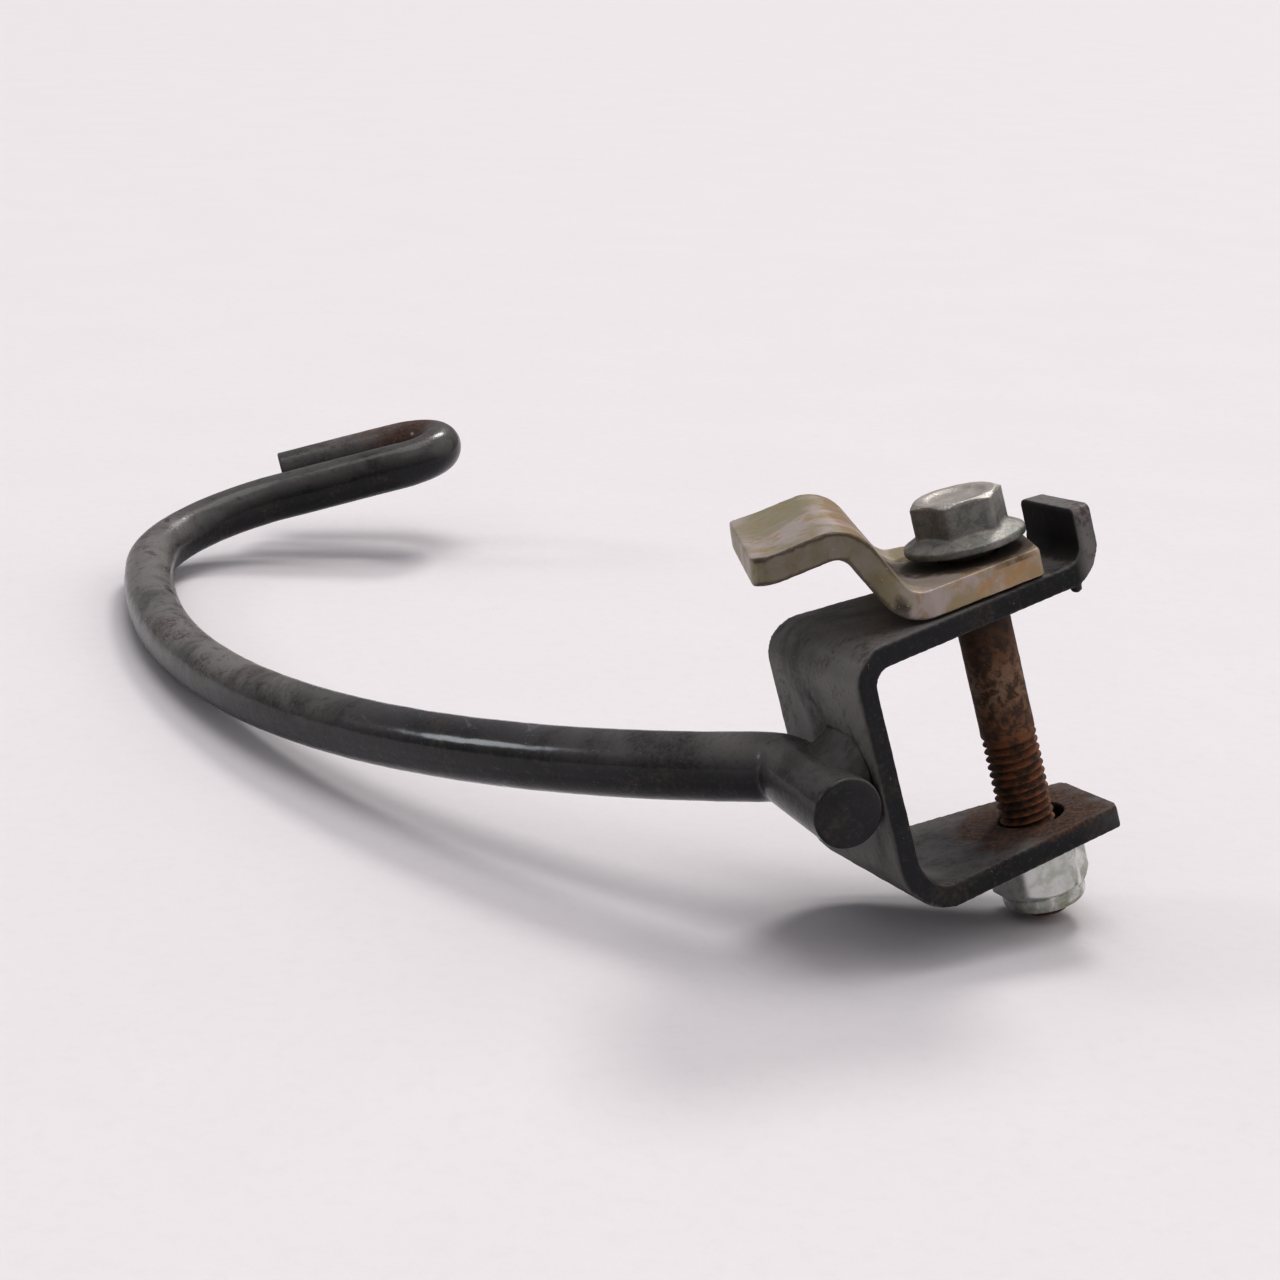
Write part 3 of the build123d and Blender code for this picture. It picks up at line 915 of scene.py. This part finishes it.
# In every material, step(noise, low, high) says where a colour breaks through, and the share given
# to mix says how strongly it covers what lies under it.
def black_paint(name, gloss, rusting, scuffed):
    """Old black paint: thin and dull on edges, with rust breaking through in patches.

    gloss is its least roughness, rusting how much mottle it resists, and scuffed adds a glossy
    rubbed stretch where the scuff attribute says.
    """
    s = Shader(name)
    broad = s.noise(size=22, detail=5, roughness=0.55, distortion=0.4)
    patch = s.noise(size=5, detail=7, roughness=0.62, distortion=0.3)
    fine = s.noise(size=0.9, detail=6, roughness=0.65)
    speck = s.noise(size=0.45, detail=3, roughness=0.5)
    paint = s.mix(s.step(broad, 0.38, 0.62), PAINT_BLACK, PAINT_CHARCOAL)
    # Dust, which on the rod also stands for painted light on its upward faces.
    dust_and_top_light = s.times(s.attribute("dust_and_top_light"), s.step(s.add(broad, s.times(fine, 0.35)), 0.40, 0.74))
    paint = s.mix(s.times(dust_and_top_light, 0.85), paint, PAINT_DUST_AND_TOP_LIGHT)
    paint = s.mix(s.step(patch, 0.56, 0.76), paint, PAINT_THIN)
    clouds = s.noise(size=9, detail=6, roughness=0.6, distortion=0.5)
    brown = s.times(s.step(clouds, 0.50, 0.64), s.step(fine, 0.40, 0.62))
    paint = s.mix(s.times(brown, 0.75), paint, PAINT_BROWNED)
    paint = s.mix(s.times(s.step(fine, 0.54, 0.68), 0.5), paint, PAINT_SCRATCHED)
    edge = s.step(s.add(s.attribute("crest"), s.times(fine, 0.5)), 0.62, 1.05)
    worn = s.times(edge, s.step(patch, 0.44, 0.62))
    paint = s.mix(s.times(worn, 0.6), paint, PAINT_WORN_EDGE)
    mottle = s.add(s.attribute("rust"), s.times(patch, 0.9), s.times(fine, 0.35))
    rusty = s.step(s.add(mottle, s.times(worn, 0.12)), rusting, rusting + 0.4)
    rust = s.mix(s.step(fine, 0.4, 0.65), PAINT_RUST_DARK, PAINT_RUST_LIGHT)
    base = s.mix(s.times(rusty, 0.85), paint, rust)
    # Painted shade inside the lip, read from this attribute, is darkened together with the grime
    # in hollows.
    darkening = s.attribute("darkening")
    dirt_and_shade = s.step(s.add(s.attribute("hollow"), darkening, s.times(patch, 0.3)), 0.35, 0.8)
    base = s.mix(s.times(dirt_and_shade, 0.8), base, PAINT_GRIME_AND_SHADE)
    chips = s.step(s.add(speck, s.times(patch, 0.35)), 0.90, 0.96)
    if scuffed:
        streak = s.noise(size=1.6, detail=6, roughness=0.7, distortion=0.6,
                         stretch=(0.35, 0.25, 1.0))
        rubbed = s.times(s.attribute("scuff"), s.step(streak, 0.60, 0.70))
        base = s.mix(s.times(rubbed, 0.55), base, PAINT_RUBBED)
        scored = s.times(s.attribute("scuff"), s.step(streak, 0.68, 0.76))
        base = s.mix(s.times(scored, 0.7), base, PAINT_SCORED)
        gloss_coat = s.span(s.attribute("scuff"), 0.5, 1.0)
        s.put(s.surface.inputs["Coat Weight"], s.times(gloss_coat, s.step(dust_and_top_light, 0.75, 0.25)))
        s.put(s.surface.inputs["Coat Roughness"], s.span(fine, 0.06, 0.22))
    base = s.mix(s.times(chips, 0.7), base, PAINT_CHIP)
    dulling = s.add(s.span(patch, gloss, gloss + 0.18), s.times(rusty, 0.28))
    roughness = s.add(dulling, s.times(darkening, 0.4))
    height = s.add(s.times(fine, 0.5), s.times(patch, 0.8), s.times(rusty, s.times(speck, 0.6)))
    specular = COATED_SPECULAR if scuffed else PAINT_SPECULAR
    s.surface.inputs["Specular IOR Level"].default_value = specular
    return s.finish(base, roughness, height, 0.16)


def yellow_zinc():
    """Aged yellow-passivated zinc: grey and pinkish where thin, olive and orange where thick."""
    s = Shader("yellow_zinc")
    broad = s.noise(size=13, detail=5, roughness=0.6, distortion=0.6)
    patch = s.noise(size=4, detail=7, roughness=0.65, distortion=0.5)
    fine = s.noise(size=0.7, detail=6, roughness=0.65)
    base = s.mix(s.step(broad, 0.40, 0.60), YELLOW_PINKISH, YELLOW_OLIVE)
    base = s.mix(s.times(s.step(patch, 0.50, 0.66), 0.7), base, YELLOW_OCHRE)
    bloom = s.times(s.attribute("flat"), s.step(patch, 0.38, 0.60))
    base = s.mix(s.times(bloom, 0.8), base, YELLOW_ORANGE)
    # Painted shade on the near faces of the strap's tail.
    base = s.mix(s.times(s.attribute("side_shade"), 0.55), base, YELLOW_SIDE_SHADE)
    seam = s.times(s.attribute("seam"), s.step(s.add(patch, s.attribute("crest")), 0.55, 0.95))
    base = s.mix(s.times(seam, 0.85), base, YELLOW_SEAM)
    rusty = s.step(s.add(s.attribute("rust"), s.times(patch, 0.7), s.times(fine, 0.3)), 0.85, 1.15)
    base = s.mix(s.times(rusty, 0.55), base, YELLOW_RUST)
    # Dirt, hollows and the painted shadow around the bolt are darkened together.
    soil_and_shade = s.add(s.attribute("dirt_and_shade"), s.times(patch, 0.8), s.attribute("hollow"))
    dirt_and_shade = s.step(soil_and_shade, 0.85, 1.25)
    base = s.mix(s.times(dirt_and_shade, 0.88), base, YELLOW_DIRT_AND_SHADE)
    edge = s.step(s.add(s.attribute("crest"), s.times(fine, 0.6)), 0.75, 1.1)
    worn = s.times(edge, s.step(patch, 0.46, 0.60))
    base = s.mix(s.times(worn, 0.2), base, YELLOW_WORN_EDGE)
    speck = s.step(s.noise(size=0.5, detail=2, roughness=0.5), 0.70, 0.76)
    base = s.mix(s.times(speck, 0.5), base, YELLOW_SPECK)
    roughness = s.add(s.span(patch, 0.36, 0.58), s.times(rusty, 0.2), s.times(dirt_and_shade, 0.2))
    metallic = s.span(s.math("MAXIMUM", rusty, dirt_and_shade), 0.35, 0.0)
    height = s.add(s.times(fine, 0.5), s.times(patch, 0.5))
    return s.finish(base, roughness, height, 0.12, metallic)


def grey_zinc_bolt():
    """Dull grey zinc on the head, brown rust down the shank with a rubbed bright band."""
    s = Shader("grey_zinc_bolt")
    patch = s.noise(size=3.2, detail=7, roughness=0.65, distortion=0.4)
    fine = s.noise(size=0.55, detail=6, roughness=0.65)
    speck = s.noise(size=0.35, detail=2, roughness=0.5)
    head = s.mix(s.step(patch, 0.38, 0.62), GREY_DARK, GREY_LIGHT)
    head = s.mix(s.times(s.step(fine, 0.52, 0.70), 0.6), head, GREY_BRUSHED)
    darkening = s.step(s.add(s.attribute("hollow"), s.times(patch, 0.5)), 0.42, 0.75)
    head = s.mix(s.times(darkening, 0.75), head, GREY_GRIME)
    # Painted light: the head's top face is lighter and dotted with glint specks where the overhead
    # light falls.
    head = s.mix(s.times(s.attribute("top"), 0.55), head, GREY_LIT_TOP)
    # Painted shade on the head's left-front facets.
    head = s.mix(s.times(s.attribute("side_shade"), 0.6), head, GREY_SIDE_SHADE)
    glints = s.times(s.attribute("top"), s.step(s.add(speck, s.times(patch, 0.4)), 0.80, 0.86))
    head = s.mix(glints, head, GREY_GLINT)
    streak = s.noise(size=2.4, detail=7, roughness=0.7, distortion=0.5)
    rust = s.mix(s.step(streak, 0.42, 0.60), RUST_DARK, RUST_BROWN)
    rust = s.mix(s.step(fine, 0.56, 0.74), rust, RUST_BRIGHT)
    orange = s.times(s.attribute("thread"), s.step(streak, 0.40, 0.62))
    rust = s.mix(s.times(orange, 0.6), rust, RUST_ORANGE)
    bright = s.times(s.attribute("polish"), s.step(streak, 0.46, 0.60))
    rust = s.mix(s.times(bright, 0.6), rust, RUST_RUBBED)
    rust = s.mix(s.times(s.attribute("shade"), 0.8), rust, RUST_SHADED)
    rust = s.mix(s.times(s.attribute("hollow"), 0.7), rust, RUST_GROOVE)
    shank = s.attribute("shank")
    base = s.mix(shank, head, rust)
    roughness = s.add(s.span(patch, 0.38, 0.58), s.times(shank, 0.22), s.times(glints, -0.25))
    metallic = s.add(s.span(shank, 0.6, 0.08), s.times(bright, 0.5))
    height = s.add(s.times(fine, 0.7), s.times(patch, 0.3), s.times(speck, 0.3))
    return s.finish(base, roughness, height, 0.14, metallic)


def bright_zinc_nut():
    """Bright zinc nut, scuffed brown on its corners and grimy in the grooves."""
    s = Shader("bright_zinc_nut")
    patch = s.noise(size=3.0, detail=7, roughness=0.62, distortion=0.3)
    fine = s.noise(size=0.6, detail=6, roughness=0.6)
    base = s.mix(s.step(patch, 0.42, 0.64), BRIGHT_LIGHT, BRIGHT_DULL)
    scuff = s.step(s.add(s.times(s.attribute("crest"), 0.5), patch), 0.66, 0.86)
    base = s.mix(s.times(scuff, 0.55), base, BRIGHT_SCUFF)
    darkening = s.step(s.add(s.attribute("hollow"), s.times(patch, 0.4)), 0.36, 0.62)
    base = s.mix(s.times(darkening, 0.75), base, BRIGHT_GRIME)
    collar = s.times(s.attribute("collar"), s.step(patch, 0.40, 0.56))
    base = s.mix(s.times(collar, 0.35), base, BRIGHT_COLLAR)
    # Painted shade on the nut's right-facing flats.
    shaded_flats = s.times(s.attribute("side_shade"), s.step(patch, 0.34, 0.60))
    base = s.mix(s.times(shaded_flats, 0.75), base, BRIGHT_SIDE_SHADE)
    roughness = s.span(patch, 0.26, 0.48)
    height = s.add(s.times(fine, 0.5), s.times(patch, 0.4))
    return s.finish(base, roughness, height, 0.08, 0.7)


def white_nylon():
    """Off-white nylon, soiled in patches."""
    s = Shader("white_nylon")
    patch = s.noise(size=1.8, detail=5, roughness=0.6)
    base = s.mix(s.step(patch, 0.45, 0.7), NYLON_CLEAN, NYLON_SOILED)
    s.surface.inputs["Subsurface Weight"].default_value = NYLON_GLOW
    s.surface.inputs["Subsurface Scale"].default_value = NYLON_GLOW_DEPTH * MM
    return s.finish(base, s.span(patch, 0.4, 0.6), patch, 0.05)


def pale_paper():
    """Pale floor with a faint mottle."""
    s = Shader("pale_floor")
    cloud = s.noise(size=60, detail=4, roughness=0.6)
    fibre = s.noise(size=4, detail=6, roughness=0.7)
    base = s.mix(cloud, FLOOR_COOL, FLOOR_PALE)
    base = s.mix(s.times(s.step(fibre, 0.45, 0.75), 0.35), base, FLOOR_FIBRE)
    return s.finish(base, 0.85, fibre, 0.10)


# ------------------------------------------------------------------ floor, light, camera
def floor():
    half = FLOOR_HALF_WIDTH
    depth = cad_box[0][2]
    corners = ((-half, -half), (half, -half), (half, half), (-half, half))
    points = [(x, y, depth) for x, y in corners]
    obj = mesh_object("floor", points, [(0, 1, 2, 3)])
    obj.data.materials.append(pale_paper())


def sun(name, strength, spread, lean_x, lean_y, tint=WARM_LIGHT):
    """Distant soft light from above, leaning towards +X and +Y by these angles."""
    light = bpy.data.lights.new(name, "SUN")
    light.energy = strength
    light.angle = math.radians(spread)
    light.color = tint
    obj = bpy.data.objects.new(name, light)
    direction = Vector((math.tan(math.radians(lean_x)), math.tan(math.radians(lean_y)), 1))
    obj.rotation_euler = direction.to_track_quat("Z", "Y").to_euler()
    bpy.context.scene.collection.objects.link(obj)


def studio():
    """Soft sky and five distant lights."""
    world = bpy.data.worlds.new("studio")
    world.use_nodes = True
    tree = world.node_tree
    background = tree.nodes["Background"]
    background.inputs["Strength"].default_value = 1.0
    direction = tree.nodes.new("ShaderNodeTexCoord")
    parts = tree.nodes.new("ShaderNodeSeparateXYZ")
    tree.links.new(direction.outputs["Generated"], parts.inputs[0])
    sky = tree.nodes.new("ShaderNodeMix")
    sky.data_type = "RGBA"
    sky.inputs[6].default_value = SKY_LOW
    sky.inputs[7].default_value = SKY_HIGH
    tree.links.new(parts.outputs["Z"], sky.inputs[0])
    rays = tree.nodes.new("ShaderNodeLightPath")
    seen = tree.nodes.new("ShaderNodeMix")
    seen.data_type = "RGBA"
    tree.links.new(rays.outputs["Is Camera Ray"], seen.inputs[0])
    tree.links.new(sky.outputs[2], seen.inputs[6])
    seen.inputs[7].default_value = BACKDROP
    tree.links.new(seen.outputs[2], background.inputs["Color"])
    bpy.context.scene.world = world
    sun("key", strength=0.95, spread=36, lean_x=4, lean_y=6, tint=(1.0, 0.985, 0.965))
    sun("back", strength=1.0, spread=14, lean_x=30, lean_y=36)
    sun("front", strength=0.15, spread=30, lean_x=8, lean_y=-30)
    sun("right", strength=0.6, spread=60, lean_x=62, lean_y=-20, tint=(1.0, 0.98, 0.95))
    sun("window", strength=0.35, spread=14, lean_x=-62, lean_y=41, tint=(0.92, 0.96, 1.0))
    view = bpy.context.scene.view_settings
    view.view_transform = "Standard"
    view.gamma = PICTURE_GAMMA


def camera():
    """Camera at the chosen place, looking down along its azimuth and rolled a little."""
    azimuth = math.radians(CAMERA_AZIMUTH)
    elevation = math.radians(CAMERA_ELEVATION)
    roll = math.radians(CAMERA_ROLL)
    forward = Vector((-math.sin(azimuth) * math.cos(elevation),
                      math.cos(azimuth) * math.cos(elevation),
                      -math.sin(elevation)))
    level = forward.cross(Vector((0, 0, 1))).normalized()
    upright = level.cross(forward)
    right = level * math.cos(roll) + upright * math.sin(roll)
    up = right.cross(forward)
    data = bpy.data.cameras.new("camera")
    data.lens = CAMERA_LENS
    data.sensor_width = CAMERA_SENSOR
    data.clip_start = CAMERA_CLIP_START
    obj = bpy.data.objects.new("camera", data)
    turn = Matrix((right, up, -forward)).transposed().to_4x4()
    obj.matrix_world = Matrix.Translation(Vector(CAMERA_PLACE) * MM) @ turn
    bpy.context.scene.collection.objects.link(obj)
    bpy.context.scene.camera = obj


# ------------------------------------------------------------------ assembly
def dress(obj, material):
    obj.data.materials.clear()
    obj.data.materials.append(material)


bracket_paint = black_paint("worn_black_paint", gloss=0.40, rusting=0.98, scuffed=False)
rod_paint = black_paint("worn_black_paint_rod", gloss=0.20, rusting=1.02, scuffed=True)
weld_paint = black_paint("painted_weld", gloss=0.36, rusting=1.0, scuffed=False)
dress(clamp_bracket(), bracket_paint)
dress(hook_rod(), rod_paint)
upper_bead = weld_bead("weld_bead_upper_rippled", "weld_bead_upper",
                       side=1, climb=UPPER_BEAD_CLIMB, wrap=UPPER_BEAD_WRAP, seed=41)
lower_bead = weld_bead("weld_bead_lower_rippled", "weld_bead_lower",
                       side=-1, climb=LOWER_BEAD_CLIMB, wrap=LOWER_BEAD_WRAP, seed=43)
dress(upper_bead, weld_paint)
dress(lower_bead, weld_paint)
dress(clip_strap(), yellow_zinc())
dress(flange_bolt(), grey_zinc_bolt())
dress(lock_nut(), bright_zinc_nut())
dress(nylon_insert(), white_nylon())
floor()
studio()
camera()
